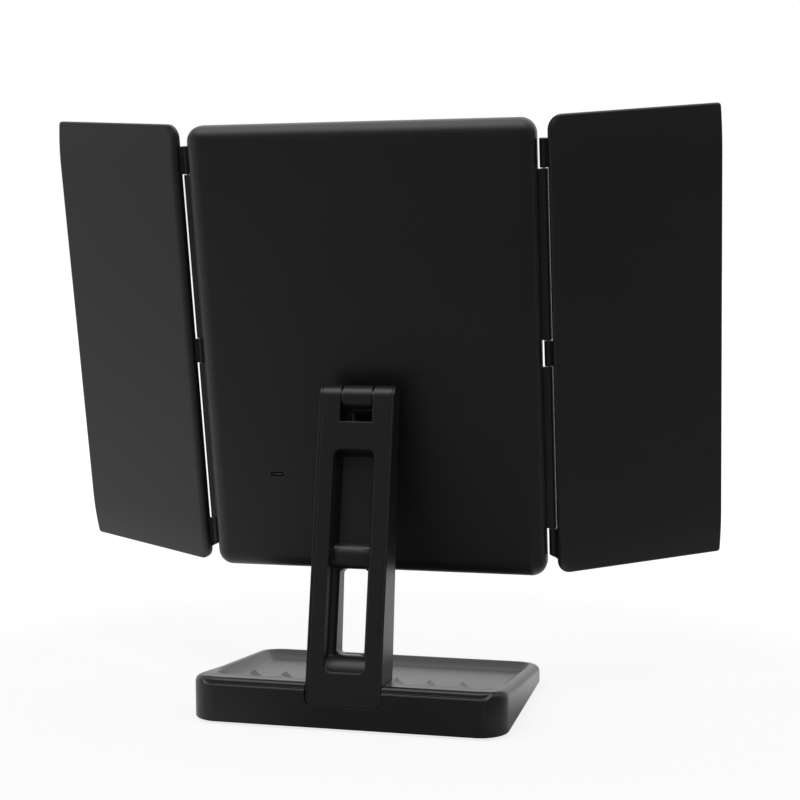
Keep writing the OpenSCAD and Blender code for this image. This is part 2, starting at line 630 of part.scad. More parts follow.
module wing_bezel(side) color(plastic) on_wing(side) difference() {
  union() {
    wing_up() linear_extrude(bezel_t) wing_outline();
    // lip that the cover snaps over
    translate([wing_in + 2.2 + part_c, wing_back + bezel_t - e, wing_lift - wing_hollow_h/2 + part_c])
      cube([wing_w - 4.2 - 2*part_c, 0.8, wing_hollow_h - 2*part_c]);
    for (k = [[k_cut + k_gap, k_top], [-k_mid + k_gap, k_mid - k_gap], [-k_low, -k_cut - k_gap]]) translate([0, 0, k[0]]) {
      cylinder(r = knuckle_r, h = k[1] - k[0]);
      linear_extrude(k[1] - k[0]) polygon([[-0.3, 1], [1, -0.6], [4.2, wing_back + 0.5], [4.2, wing_back + 1.7], [2.2, wing_back + 1.7]]);
    }
  }
  // slanted lower end of the lowest knuckle
  translate([-knuckle_r - 0.2, -8, -k_low + 2.4]) rotate([0, 28, 0]) translate([-5, 0, -20]) cube([wing_in + 8, 8 + wing_back - 0.3, 20]);
  translate([(wing_in + wing_out)/2, 0, wing_lift]) {
    translate([0, -1, 0]) wing_up() linear_extrude(wing_glass_t + 1.1) round_rect(wing_w - 5.6, panel_h - 5.6, 3);
    translate([0, -1, 0]) wing_up() linear_extrude(20) round_rect(wing_w - 20, panel_h - 60, 3);
  }
  translate([0, 0, -k_top - 20]) cylinder(r = pin_r + run_c, h = 2*k_top + 40);
}
module wing_mirror(side) color("#c9d2d8") on_wing(side) translate([(wing_in + wing_out)/2, 0, wing_lift])
  wing_up() linear_extrude(wing_glass_t) round_rect(wing_w - 6, panel_h - 6, 2.8);
module hinge_pin(side) color("#a8aaac") on_panel() translate([side*hinge_x, hinge_y, -k_top + 1]) cylinder(r = pin_r, h = 2*k_top - 2);

base_housing();
base_tray();
base_bottom_plate();
ballast(1);  // ballast_left
ballast(-1);  // ballast_right
foot(1, -1);  // foot_front_left
foot(-1, -1);  // foot_front_right
foot(1, 1);  // foot_rear_left
foot(-1, 1);  // foot_rear_right
base_screw(1);  // base_screw_front_left
base_screw(0);  // base_screw_front_right
base_screw(3);  // base_screw_rear_left
base_screw(2);  // base_screw_rear_right
arm_front_shell();
arm_rear_cover();
arm_screw(1);  // arm_screw_left
arm_screw(-1);  // arm_screw_right
tilt_shaft();
tilt_nut();
friction_washer(1);  // friction_washer_left
friction_washer(-1);  // friction_washer_right
hinge_cap(1);  // hinge_cap_left
hinge_cap(-1);  // hinge_cap_right
tilt_bracket();
bracket_screw(0);  // bracket_screw_1
bracket_screw(1);  // bracket_screw_2
bracket_screw(2);  // bracket_screw_3
bracket_screw(3);  // bracket_screw_4
panel_rear_cover();
panel_front_frame();
centre_mirror();
diffuser(1);  // left_diffuser
diffuser(-1);  // right_diffuser
led_board(1);  // left_led_board
led_board(-1);  // right_led_board
control_board();
usb_socket();
indicator_lens();
battery_cell();
power_button();
button_switch();
button_board();
hinge_pin(1);  // left_hinge_pin
hinge_pin(-1);  // right_hinge_pin
wing_cover(1);  // left_wing_cover
wing_bezel(1);  // left_wing_bezel
wing_mirror(1);  // left_wing_mirror
wing_cover(-1);  // right_wing_cover
wing_bezel(-1);  // right_wing_bezel
wing_mirror(-1);  // right_wing_mirror
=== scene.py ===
import json, math
import bpy, bmesh
from mathutils import Matrix, Vector
from mathutils.geometry import delaunay_2d_cdt


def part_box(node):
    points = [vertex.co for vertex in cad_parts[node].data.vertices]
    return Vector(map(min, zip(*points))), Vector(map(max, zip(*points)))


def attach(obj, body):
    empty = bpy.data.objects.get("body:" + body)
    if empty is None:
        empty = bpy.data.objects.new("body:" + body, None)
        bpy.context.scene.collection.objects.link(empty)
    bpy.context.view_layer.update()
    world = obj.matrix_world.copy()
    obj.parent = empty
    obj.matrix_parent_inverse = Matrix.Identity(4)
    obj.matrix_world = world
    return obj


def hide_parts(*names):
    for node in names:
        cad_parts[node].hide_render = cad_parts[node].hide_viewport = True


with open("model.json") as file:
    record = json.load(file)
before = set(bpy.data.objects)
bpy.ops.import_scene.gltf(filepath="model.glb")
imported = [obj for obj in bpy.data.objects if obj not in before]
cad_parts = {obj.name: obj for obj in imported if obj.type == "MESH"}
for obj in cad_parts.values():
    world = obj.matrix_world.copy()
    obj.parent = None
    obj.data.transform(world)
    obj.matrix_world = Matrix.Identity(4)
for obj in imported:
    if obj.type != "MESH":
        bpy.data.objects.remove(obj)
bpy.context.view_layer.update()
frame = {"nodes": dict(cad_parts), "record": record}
scene = bpy.context.scene
scene.view_settings.view_transform = "Standard"


# ---- Camera, floor and light ----
# The mirror stands on a white sweep and is seen from behind, a little to its
# left side. One broad soft light hangs over it; the sweep is paler on one
# side than on the other, which is what the black plastic reflects.
def aim_camera():
    pan, tip, roll = math.radians(13.726), math.radians(-5.022), math.radians(-0.348)
    forward = Vector((math.sin(pan) * math.cos(tip), -math.cos(pan) * math.cos(tip), math.sin(tip)))
    right = forward.cross(Vector((0, 0, 1))).normalized()
    up = right.cross(forward)
    right, up = right * math.cos(roll) + up * math.sin(roll), up * math.cos(roll) - right * math.sin(roll)
    lens = bpy.data.cameras.new("photo_camera")
    lens.sensor_fit, lens.sensor_width, lens.lens = "HORIZONTAL", 36, 73.25
    lens.clip_start, lens.clip_end = 0.02, 50
    camera = bpy.data.objects.new("photo_camera", lens)
    scene.collection.objects.link(camera)
    turn = Matrix((right, up, -forward)).transposed().to_4x4()
    camera.matrix_world = Matrix.Translation((-0.2657, 1.0110, 0.2884)) @ turn
    scene.camera = camera


aim_camera()


class Tree:
    """A node tree that is filled with short calls."""

    def __init__(self, tree):
        self.tree, self.nodes, self.links = tree, tree.nodes, tree.links

    def add(self, kind, feeds=None, **settings):
        """A node of that kind; feeds gives its inputs as values or as other nodes' sockets."""
        node = self.nodes.new(kind)
        for name, value in settings.items():
            setattr(node, name, value)
        for key, value in (feeds or {}).items():
            if isinstance(value, bpy.types.NodeSocket):
                self.links.new(value, node.inputs[key])
            else:
                node.inputs[key].default_value = value
        return node

    def math(self, operation, *values, clamp=False):
        return self.add("ShaderNodeMath", dict(enumerate(values)), operation=operation, use_clamp=clamp).outputs[0]

    def span(self, value, low, high, to_low=0.0, to_high=1.0):
        feeds = {"Value": value, "From Min": low, "From Max": high, "To Min": to_low, "To Max": to_high}
        return self.add("ShaderNodeMapRange", feeds).outputs["Result"]

    def blend(self, share, first, second):
        node = self.add("ShaderNodeMix", data_type="RGBA")
        for socket, value in ((node.inputs[0], share), (node.inputs[6], first), (node.inputs[7], second)):
            if isinstance(value, bpy.types.NodeSocket):
                self.links.new(value, socket)
            else:
                socket.default_value = value if isinstance(value, float) else (*value, 1)[:4]
        return node.outputs[2]


def sweep_brightness(tree, heading):
    """How bright the sweep is towards a heading: dark behind the mirror, pale before it."""
    level = tree.add("ShaderNodeVectorMath", {0: heading, 1: (1, 1, 0)}, operation="MULTIPLY").outputs[0]
    level = tree.add("ShaderNodeVectorMath", {0: level}, operation="NORMALIZE").outputs[0]
    side = tree.add("ShaderNodeVectorMath", {0: level, 1: (0.55, -0.83, 0)}, operation="DOT_PRODUCT").outputs["Value"]
    ramp = tree.add("ShaderNodeValToRGB", {"Fac": tree.span(side, -1, 1)})
    stops = ((0.0, 0.22), (0.14, 0.20), (0.215, 0.27), (0.52, 0.70), (0.80, 0.85), (0.9, 1.05), (1.0, 1.1))
    while len(ramp.color_ramp.elements) < len(stops):
        ramp.color_ramp.elements.new(0.5)
    for element, (place, grey) in zip(ramp.color_ramp.elements, stops):
        element.position, element.color = place, (grey, grey, grey, 1)
    return ramp.outputs["Color"]


def light_studio():
    world = bpy.data.worlds.new("studio")
    world.use_nodes = True
    scene.world = world
    t = Tree(world.node_tree)
    t.nodes.clear()
    place = t.add("ShaderNodeTexCoord").outputs["Generated"]
    seen = t.add("ShaderNodeLightPath")
    height = t.add("ShaderNodeSeparateXYZ", {0: place}).outputs["Z"]
    fade = t.span(height, 0.05, 0.5, 1.0, 0.35)
    sides = t.add("ShaderNodeVectorMath", {0: sweep_brightness(t, place), "Scale": fade}, operation="SCALE").outputs[0]
    ceiling = t.add("ShaderNodeVectorMath", {0: place, 1: (0, -0.22, 0.975)}, operation="DOT_PRODUCT").outputs["Value"]
    around = t.blend(t.span(ceiling, 0.30, 0.95), sides, (1.6, 1.6, 1.6))
    ambient = t.add("ShaderNodeBackground", {"Color": (1, 1, 1, 1), "Strength": 0.30}).outputs[0]
    mirrored = t.add("ShaderNodeBackground", {"Color": around, "Strength": 1.0}).outputs[0]
    white = t.add("ShaderNodeBackground", {"Color": (1, 1, 1, 1), "Strength": 1.0}).outputs[0]
    glossy = t.math("MAXIMUM", seen.outputs["Is Glossy Ray"], seen.outputs["Is Transmission Ray"])
    lit = t.add("ShaderNodeMixShader", {0: glossy, 1: ambient, 2: mirrored}).outputs[0]
    shown = t.add("ShaderNodeMixShader", {0: seen.outputs["Is Camera Ray"], 1: lit, 2: white}).outputs[0]
    t.add("ShaderNodeOutputWorld", {"Surface": shown})

    lamp = bpy.data.lights.new("overhead_softbox", "AREA")
    lamp.shape, lamp.size, lamp.size_y, lamp.energy = "RECTANGLE", 1.5, 0.8, 5.5
    softbox = bpy.data.objects.new("overhead_softbox", lamp)
    softbox.location = (0.05, 0.50, 1.35)
    softbox.rotation_euler = (math.radians(-22), 0, 0)
    scene.collection.objects.link(softbox)


def lay_floor():
    rings, spokes = [0.0, 0.15, 0.3, 0.6, 1.2, 3.0, 9.0, 25.0], 64
    bm = bmesh.new()
    circles = []
    for r in rings[1:]:
        turns = [math.tau * i / spokes for i in range(spokes)]
        circles.append([bm.verts.new((r * math.cos(turn), r * math.sin(turn), 0)) for turn in turns])
    middle = bm.verts.new((0, 0, 0))
    for i in range(spokes):
        bm.faces.new((middle, circles[0][i], circles[0][(i + 1) % spokes]))
        for inner, outer in zip(circles, circles[1:]):
            bm.faces.new((inner[i], outer[i], outer[(i + 1) % spokes], inner[(i + 1) % spokes]))
    mesh = bpy.data.meshes.new("white_floor")
    bm.to_mesh(mesh)
    bm.free()
    floor = bpy.data.objects.new("white_floor", mesh)
    scene.collection.objects.link(floor)

    material = bpy.data.materials.new("white_sweep")
    material.use_nodes = True
    t = Tree(material.node_tree)
    t.nodes.clear()
    place = t.add("ShaderNodeTexCoord").outputs["Object"]
    seen = t.add("ShaderNodeLightPath")
    reach = t.add("ShaderNodeVectorMath", {0: place}, operation="LENGTH").outputs["Value"]
    paper = t.add("ShaderNodeBsdfDiffuse", {"Color": (0.88, 0.88, 0.88, 1)}).outputs[0]
    bright = t.add("ShaderNodeEmission", {"Color": (1, 1, 1, 1), "Strength": 1.3}).outputs[0]
    white = t.add("ShaderNodeMixShader", {0: t.span(reach, 0.3, 0.7, 0.62, 0.85), 1: paper, 2: bright}).outputs[0]
    across = t.add("ShaderNodeSeparateXYZ", {0: place}).outputs["X"]
    rear_near, side_near = t.span(reach, 0.12, 0.45, 0.9, 1.0), t.span(reach, 0.12, 0.22, 2.4, 1.0)
    near = t.add("ShaderNodeMix", {0: t.span(across, -0.09, -0.12), 2: rear_near, 3: side_near}).outputs[0]
    far = t.span(reach, 0.5, 1.4, 1.0, 0.75)
    glow = {"Color": sweep_brightness(t, place), "Strength": t.math("MULTIPLY", near, far)}
    mirrored = t.add("ShaderNodeEmission", glow).outputs[0]
    glossy = t.math("MAXIMUM", seen.outputs["Is Glossy Ray"], seen.outputs["Is Transmission Ray"])
    lit = t.add("ShaderNodeMixShader", {0: glossy, 1: paper, 2: mirrored}).outputs[0]
    shown = t.add("ShaderNodeMixShader", {0: seen.outputs["Is Camera Ray"], 1: lit, 2: white}).outputs[0]
    t.add("ShaderNodeOutputMaterial", {"Surface": shown})
    mesh.materials.append(material)


light_studio()
lay_floor()


# ---- Base ----
# The low wedge that everything stands on: a moulded ABS shell whose wall rolls
# over into the tray's rim without a visible joint. Only along the rear does the
# tray stand back from the wall's top edge, as a crown behind six round grooves.
def effect(name, inputs, outputs):
    """A shader node group with float inputs and the named outputs."""
    group = bpy.data.node_groups.new(name, "ShaderNodeTree")
    for label, value in inputs.items():
        group.interface.new_socket(name=label, in_out="INPUT", socket_type="NodeSocketFloat").default_value = value
    for label, kind in outputs.items():
        group.interface.new_socket(name=label, in_out="OUTPUT", socket_type="NodeSocket" + kind)
    t = Tree(group)
    return group, t, t.add("NodeGroupInput").outputs, t.add("NodeGroupOutput")


def make_mould_grain():
    """Fine spark-eroded grain of a mould, and the broad unevenness of its polish."""
    group, t, given, out = effect("mould_grain", {"Grain per metre": 1800.0, "Patch per metre": 9.0},
                                  {"Height": "Float", "Patch": "Float"})
    place = t.add("ShaderNodeTexCoord").outputs["Object"]
    fine = t.add("ShaderNodeTexNoise", {"Vector": place, "Scale": given[0], "Detail": 2.0, "Roughness": 0.6})
    pits = t.add("ShaderNodeTexVoronoi", {"Vector": place, "Scale": given[0]}, feature="SMOOTH_F1")
    broad = t.add("ShaderNodeTexNoise", {"Vector": place, "Scale": given[1], "Detail": 4.0, "Roughness": 0.65})
    height = t.math("ADD", t.math("MULTIPLY", fine.outputs["Fac"], 0.7), t.math("MULTIPLY", pits.outputs["Distance"], 0.5))
    t.links.new(height, out.inputs["Height"])
    t.links.new(t.span(broad.outputs["Fac"], 0.3, 0.7), out.inputs["Patch"])
    return group


def make_soft_edges():
    """Rounds sharp edges in the shading and gives a mask of those edges, where the plastic gets a painted highlight and
    a little more gloss.
    """
    group, t, given, out = effect("soft_edges", {"Radius": 0.0005}, {"Normal": "Vector", "Edge": "Float"})
    rounded = t.add("ShaderNodeBevel", {"Radius": given[0]}, samples=6).outputs[0]
    flat = t.add("ShaderNodeNewGeometry").outputs["Normal"]
    same = t.add("ShaderNodeVectorMath", {0: rounded, 1: flat}, operation="DOT_PRODUCT").outputs["Value"]
    t.links.new(rounded, out.inputs["Normal"])
    t.links.new(t.span(same, 0.995, 0.8), out.inputs["Edge"])
    return group


def make_settled_dust():
    """The thin film that settles on surfaces that face up."""
    group, t, given, out = effect("settled_dust", {"Amount": 0.5}, {"Dust": "Float"})
    place = t.add("ShaderNodeTexCoord").outputs["Object"]
    up = t.add("ShaderNodeSeparateXYZ", {0: t.add("ShaderNodeNewGeometry").outputs["Normal"]}).outputs["Z"]
    cloud = t.add("ShaderNodeTexNoise", {"Vector": place, "Scale": 26.0, "Detail": 6.0, "Roughness": 0.7}).outputs["Fac"]
    film = t.math("MULTIPLY", t.span(up, 0.6, 1.0), t.span(cloud, 0.25, 0.75, 0.4, 1.0))
    t.links.new(t.math("MULTIPLY", film, given[0]), out.inputs["Dust"])
    return group


mould_grain, soft_edges, settled_dust = make_mould_grain(), make_soft_edges(), make_settled_dust()


def new_material(name):
    material = bpy.data.materials.new(name)
    material.use_nodes = True
    t = Tree(material.node_tree)
    t.nodes.clear()
    surface = t.add("ShaderNodeBsdfPrincipled")
    t.add("ShaderNodeOutputMaterial", {"Surface": surface.outputs[0]})
    return material, t, surface


def moulded_plastic(name, colour, rough, grain=1800.0, depth=0.10, edge=0.0005, dust=0.3, shine=0.5):
    """Moulded plastic with its own grain size, edge radius, painted edge highlight and film of dust."""
    material, t, surface = new_material(name)
    surface.inputs["Specular IOR Level"].default_value = shine
    grained = t.add("ShaderNodeGroup", node_tree=mould_grain)
    grained.inputs["Grain per metre"].default_value = grain
    edges = t.add("ShaderNodeGroup", node_tree=soft_edges)
    edges.inputs["Radius"].default_value = edge
    dusty = t.add("ShaderNodeGroup", node_tree=settled_dust)
    dusty.inputs["Amount"].default_value = dust
    lighter = tuple(min(1, c * 1.35 + 0.001) for c in colour)
    body = t.blend(t.math("MULTIPLY", grained.outputs["Patch"], 0.5), colour, lighter)
    # painted highlight: sharp edges are painted lighter, standing in for the light they catch
    body = t.blend(t.math("MULTIPLY", edges.outputs["Edge"], 0.3), body, tuple(c * 2 + 0.004 for c in colour))
    body = t.blend(t.math("MULTIPLY", dusty.outputs["Dust"], 0.03), body, (0.55, 0.53, 0.5))
    t.links.new(body, surface.inputs["Base Color"])
    worn = t.math("ADD", rough - 0.02, t.math("MULTIPLY", grained.outputs["Patch"], 0.05))
    worn = t.math("SUBTRACT", worn, t.math("MULTIPLY", edges.outputs["Edge"], 0.06))
    worn = t.math("ADD", worn, t.math("MULTIPLY", dusty.outputs["Dust"], 0.05), clamp=True)
    t.links.new(worn, surface.inputs["Roughness"])
    bump = t.add("ShaderNodeBump", {"Strength": depth, "Distance": 0.0002, "Height": grained.outputs["Height"],
                                    "Normal": edges.outputs["Normal"]})
    t.links.new(bump.outputs[0], surface.inputs["Normal"])
    return material


def dress(node, material):
    """Gives a CAD node its material."""
    piece = frame["nodes"][node]
    if not piece.material_slots:
        piece.data.materials.append(None)
    for place in piece.material_slots:
        place.link = "OBJECT"
        place.material = material


base_w, base_d, base_corner = 0.200, 0.154, 0.018
foot_h, rear_h, front_h = 0.0015, 0.023, 0.0057
rear_y = base_d / 2
wall_slope = (rear_h - front_h) / base_d
rim_high, crown_high, ridge_high, floor_low = 0.0042, 0.0050, 0.0060, -0.0015
rim_roll, rim_inner, rim_foot = 0.0046, 0.0064, 0.0162
ledge_flat, ledge_fillet = 0.0004, 0.0013
crown_from, crown_face, crown_roll, crown_to = 0.0019, 0.0015, 0.0040, 0.0135
groove_r, groove_pitch, first_ridge = 0.012, 0.0211, 0.0257
groove_from, groove_ball = 0.0145, 0.026
ridge_end, ridge_fall = 0.0370, 1.9
arm_w, arm_foot_d, arm_low, arm_seam = 0.048, 0.0305, 0.0155, 0.0003
arm_corner, socket_floor, rear_wall = 0.005, 0.0049, 0.0035


def ease(value, low, high):
    share = min(1.0, max(0.0, (value - low) / (high - low)))
    return share * share * (3 - 2 * share)


def soft_min(a, b, k):
    share = min(1.0, max(0.0, 0.5 + 0.5 * (b - a) / k))
    return b + (a - b) * share - k * share * (1 - share)


def edge_distance(x, y, half_w, low_y, high_y, corner):
    """Distance inwards from a rounded rectangle, and how far its nearest edge faces the rear."""
    dx = abs(x) - (half_w - corner)
    dy_rear, dy_front = y - (high_y - corner), (low_y + corner) - y
    dy = max(dy_rear, dy_front)
    if dx > 0 and dy > 0:
        reach = math.hypot(dx, dy)
        return corner - reach, (dy / max(reach, 1e-9)) * (1 if dy_rear > dy_front else -1)
    if dx > dy:
        return corner - dx, 0.0
    return corner - dy, (1.0 if dy_rear > dy_front else -1.0)


def tray_height(x, y):
    """Height of the tray's surface above the slanting plane of the wall's top edge."""
    inwards, facing = edge_distance(x, y, base_w / 2, -base_d / 2, base_d / 2, base_corner)
    behind = rear_y - y
    # outer side: a quarter round at the sides and front, ledge and crown at the rear
    top = rim_high + (crown_high - rim_high) * ease(y, 0.015, 0.060)
    side = top
    if inwards < rim_roll:
        side = top - rim_roll + math.sqrt(max(0.0, rim_roll ** 2 - (rim_roll - inwards) ** 2))
    else:
        side += 0.3 * max(0.0, inwards - 0.010)
    if inwards < ledge_flat + ledge_fillet:
        sweep = max(0.0, inwards - ledge_flat)
        rear = ledge_fillet - math.sqrt(max(0.0, ledge_fillet ** 2 - sweep ** 2))
    elif inwards < crown_from:
        climb = (inwards - ledge_flat - ledge_fillet) / (crown_from - ledge_flat - ledge_fillet)
        rear = ledge_fillet + (crown_face - ledge_fillet) * climb
    elif inwards < crown_from + crown_roll:
        away = 1 - (inwards - crown_from) / crown_roll
        rear = crown_face + (crown_high - crown_face) * math.sqrt(1 - away ** 2)
    else:
        rear = crown_high + 0.3 * max(0.0, inwards - crown_to)
    share = ease(facing, 0.80, 0.985)
    outer = side + (rear - side) * share
    # inner side: the rim's cove, and the deck with its grooves
    within, _ = edge_distance(x, y, base_w / 2, -base_d / 2, 1.0, base_corner)
    down = min(1.0, max(0.0, (within - rim_inner) / (rim_foot - rim_inner)))
    cove = top - (top - floor_low) * (1 - (1 - down) ** 1.6)
    deck = crown_high + (ridge_high - crown_high) * max(0.0, behind - crown_to) / (ridge_end - crown_to)
    deck = soft_min(deck, ridge_high - ridge_fall * (behind - ridge_end), 0.0004)
    if behind > groove_from:
        nearest = min(((i + 0.5) * groove_pitch + first_ridge for i in range(3)), key=lambda c: abs(abs(x) - c))
        across = abs(abs(x) - nearest)
        along = max(0.0, groove_ball - behind)
        axis = ridge_high + math.sqrt(groove_r ** 2 - (groove_pitch / 2) ** 2)
        room = groove_r ** 2 - across ** 2 - along ** 2
        if across < groove_pitch / 2 + 0.0005 and room > 0:
            deck = soft_min(deck, axis - math.sqrt(room), 0.00025)
    inner = -soft_min(-cove, -max(deck, floor_low), 0.0006)
    return soft_min(outer, inner, 0.0003)


def rounded_outline(half_w, half_d, corner, bends, parts_w, parts_d):
    """Points round a rounded rectangle, anticlockwise, the same number for every size."""
    points = []
    for quarter, (sx, sy) in enumerate(((1, 1), (-1, 1), (-1, -1), (1, -1))):
        cx, cy = sx * (half_w - corner), sy * (half_d - corner)
        for i in range(bends + 1):
            angle = math.pi / 2 * (quarter + i / bends)
            points.append((cx + corner * math.cos(angle), cy + corner * math.sin(angle)))
        parts = parts_d if quarter % 2 else parts_w
        run = 2 * (half_d - corner if quarter % 2 else half_w - corner)
        for i in range(1, parts):
            x, y = points[-1]
            step = run / parts
            points.append((x + (-step, 0, step, 0)[quarter], y + (0, -step, 0, step)[quarter]))
    return points


def finish_mesh(name, bm, material, sharp=32):
    """Makes a merged, outward-facing, smoothly shaded object of a bmesh."""
    bmesh.ops.remove_doubles(bm, verts=bm.verts, dist=1e-6)
    bmesh.ops.recalc_face_normals(bm, faces=bm.faces)
    mesh = bpy.data.meshes.new(name)
    bm.to_mesh(mesh)
    bm.free()
    piece = bpy.data.objects.new(name, mesh)
    scene.collection.objects.link(piece)
    mesh.materials.append(material)
    mesh.shade_smooth()
    mesh.set_sharp_from_angle(angle=math.radians(sharp))
    return piece


def apply_modifiers(piece, sharp=32):
    """Bakes a piece's modifiers into its mesh."""
    graph = bpy.context.evaluated_depsgraph_get()
    mesh = bpy.data.meshes.new_from_object(piece.evaluated_get(graph))
    piece.modifiers.clear()
    old, piece.data = piece.data, mesh
    bpy.data.meshes.remove(old)
    mesh.shade_smooth()
    mesh.set_sharp_from_angle(angle=math.radians(sharp))


def block(bm, low, high):
    """Adds a box to a bmesh."""
    grown = bmesh.ops.create_cube(bm, size=1.0)["verts"]
    for v in grown:
        v.co = Vector([low[i] + (v.co[i] + 0.5) * (high[i] - low[i]) for i in range(3)])


def wall_top(y):
    """Height above the table of the wall's top edge."""
    return foot_h + rear_h + (y - rear_y) * wall_slope


def base_ring(inset):
    """The base's outline drawn in by an inset."""
    return rounded_outline(base_w / 2 - inset, base_d / 2 - inset, base_corner - inset, 24, 150, 108)


def make_base():
    """Wall and tray as one body: a net of points on top, closed below, cut for the arm's foot."""
    # insets of the rings of points, close together where the section turns
    rings = (0.0, 0.0002, 0.0004, 0.0007, 0.0010, 0.0013, 0.0015, 0.0016, 0.00168, 0.00174,
             0.0019, 0.0020, 0.0023, 0.0027, 0.0032, 0.0038, 0.0046, 0.0054, 0.0061, 0.0064,
             0.0068, 0.0074, 0.0082, 0.0091, 0.0101, 0.0112, 0.0123, 0.0134, 0.0145)
    points = [Vector(p) for inset in rings for p in base_ring(inset)]
    # a net over the middle, fine over the grooves and coarse in front of them
    margin, fine, coarse = 0.0152, 0.0007, 0.0045
    half_x, low, high = base_w / 2 - margin, -base_d / 2 + margin, base_d / 2 - 0.0150
    fine_from = rear_y - 0.0415
    columns = 2 * round(half_x / fine)
    for i in range(columns + 1):
        x = -half_x + 2 * half_x * i / columns
        rows = round((high - fine_from) / fine)
        for j in range(rows + 1):
            points.append(Vector((x, fine_from + (high - fine_from) * j / rows)))
        if i % 6 == 0:
            rows = round((fine_from - low) / coarse)
            for j in range(rows):
                points.append(Vector((x, low + (fine_from - low) * j / rows)))
    kept = delaunay_2d_cdt(points, [], [], 0, 1e-7)
    bm = bmesh.new()
    verts = [bm.verts.new((p.x, p.y, wall_top(p.y) + tray_height(p.x, p.y))) for p in kept[0]]
    for face in kept[2]:
        bm.faces.new([verts[i] for i in face])
    first = {source: made for made, sources in zip(verts, kept[3]) for source in sources}
    ring = [first[i] for i in range(len(base_ring(0.0)))]
    # down the wall, round its bottom edge and up inside to the plate
    lower = [(0.0, 0.0007), (0.0001, 0.0004), (0.0003, 0.00015), (0.0007, 0.0), (0.0019, 0.0), (0.0019, 0.0021)]
    for inset, lift in lower:
        below = [bm.verts.new((x, y, foot_h + lift)) for x, y in base_ring(inset)]
        for i in range(len(ring)):
            bm.faces.new((ring[i - 1], below[i - 1], below[i], ring[i]))
        ring = below
    bm.faces.new(ring)
    body = finish_mesh("tray_base", bm, base_black)
    # room for the arm's foot, open through the rear wall
    bm = bmesh.new()
    c = arm_seam
    block(bm, (-arm_w / 2 - c, rear_y - arm_foot_d - c, foot_h + socket_floor),
          (arm_w / 2 + c, rear_y - rear_wall, 0.08))
    hole = finish_mesh("arm_hole", bm, base_black)
    bm = bmesh.new()
    half_notch = 0.04
    profile = rounded_outline(arm_w / 2 + c, half_notch, arm_corner + c, 10, 1, 1)
    back = [bm.verts.new((x, rear_y - 0.008, arm_low - c + half_notch + z)) for x, z in profile]
    front = [bm.verts.new((x, rear_y + 0.010, arm_low - c + half_notch + z)) for x, z in profile]
    for i in range(len(profile)):
        bm.faces.new((back[i - 1], back[i], front[i], front[i - 1]))
    bm.faces.new(back)
    bm.faces.new(front)
    notch = finish_mesh("arm_notch", bm, base_black)
    for cutter in (hole, notch):
        cut = body.modifiers.new("room_for_arm", "BOOLEAN")
        cut.operation, cut.solver, cut.object = "DIFFERENCE", "EXACT", cutter
    apply_modifiers(body)
    for cutter in (hole, notch):
        bpy.data.objects.remove(cutter)
    return body


base_black = moulded_plastic("base_black_abs", (0.008, 0.008, 0.0085), 0.33, dust=0.1)
tray_base = make_base()
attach(tray_base, "stand")
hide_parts("base_housing", "base_tray")


# ---- Underside ----
# A plate closes the base from below, over two iron weights. It is held by
# four screws and stands on four soft feet set into round seats.
under_black = moulded_plastic("underside_black", (0.014, 0.014, 0.0145), 0.55, grain=1200.0)
dress("base_bottom_plate", under_black)


def grower(name, sizes):
    """An empty Geometry Nodes tree with the named sizes as its inputs."""
    tree = bpy.data.node_groups.new(name, "GeometryNodeTree")
    tree.interface.new_socket(name="Places", in_out="INPUT", socket_type="NodeSocketGeometry")
    for label, value in sizes.items():
        kind = {float: "Float", int: "Int", tuple: "Vector"}[type(value)]
        tree.interface.new_socket(name=label, in_out="INPUT", socket_type="NodeSocket" + kind).default_value = value
    tree.interface.new_socket(name="Material", in_out="INPUT", socket_type="NodeSocketMaterial")
    tree.interface.new_socket(name="Grown", in_out="OUTPUT", socket_type="NodeSocketGeometry")
    t = Tree(tree)
    return tree, t, t.add("NodeGroupInput").outputs


def set_on_places(t, given, shape):
    """Ends a tree: the shape stands on every place, turned as the tree's Turn says."""
    stood = t.add("GeometryNodeInstanceOnPoints", {"Points": given["Places"], "Instance": shape, "Rotation": given["Turn"]})
    real = t.add("GeometryNodeRealizeInstances", {0: stood.outputs[0]}).outputs[0]
    made = t.add("GeometryNodeSetMaterial", {"Geometry": real, "Material": given["Material"]}).outputs[0]
    t.add("NodeGroupOutput", {0: made})


def grow(name, places, tree, material, **sizes):
    """The tree's result on the given places, as one plain mesh."""
    mesh = bpy.data.meshes.new(name)
    mesh.from_pydata([tuple(place) for place in places], [], [])
    piece = bpy.data.objects.new(name, mesh)
    scene.collection.objects.link(piece)
    grown = piece.modifiers.new(name, "NODES")
    grown.node_group = tree
    sizes["Material"] = material
    for item in tree.interface.items_tree:
        label = item.name.replace(" ", "_")
        if item.in_out == "INPUT" and label in sizes:
            grown[item.identifier] = sizes[label]
    apply_modifiers(piece)
    return piece


def narrowed(t, shape, parts, narrow, up):
    """The shape with its points drawn in towards the axis and set to a new height."""
    x, y = t.math("MULTIPLY", parts["X"], narrow), t.math("MULTIPLY", parts["Y"], narrow)
    moved = t.add("ShaderNodeCombineXYZ", {0: x, 1: y, 2: up}).outputs[0]
    return t.add("GeometryNodeSetPosition", {"Geometry": shape, "Position": moved}).outputs[0]


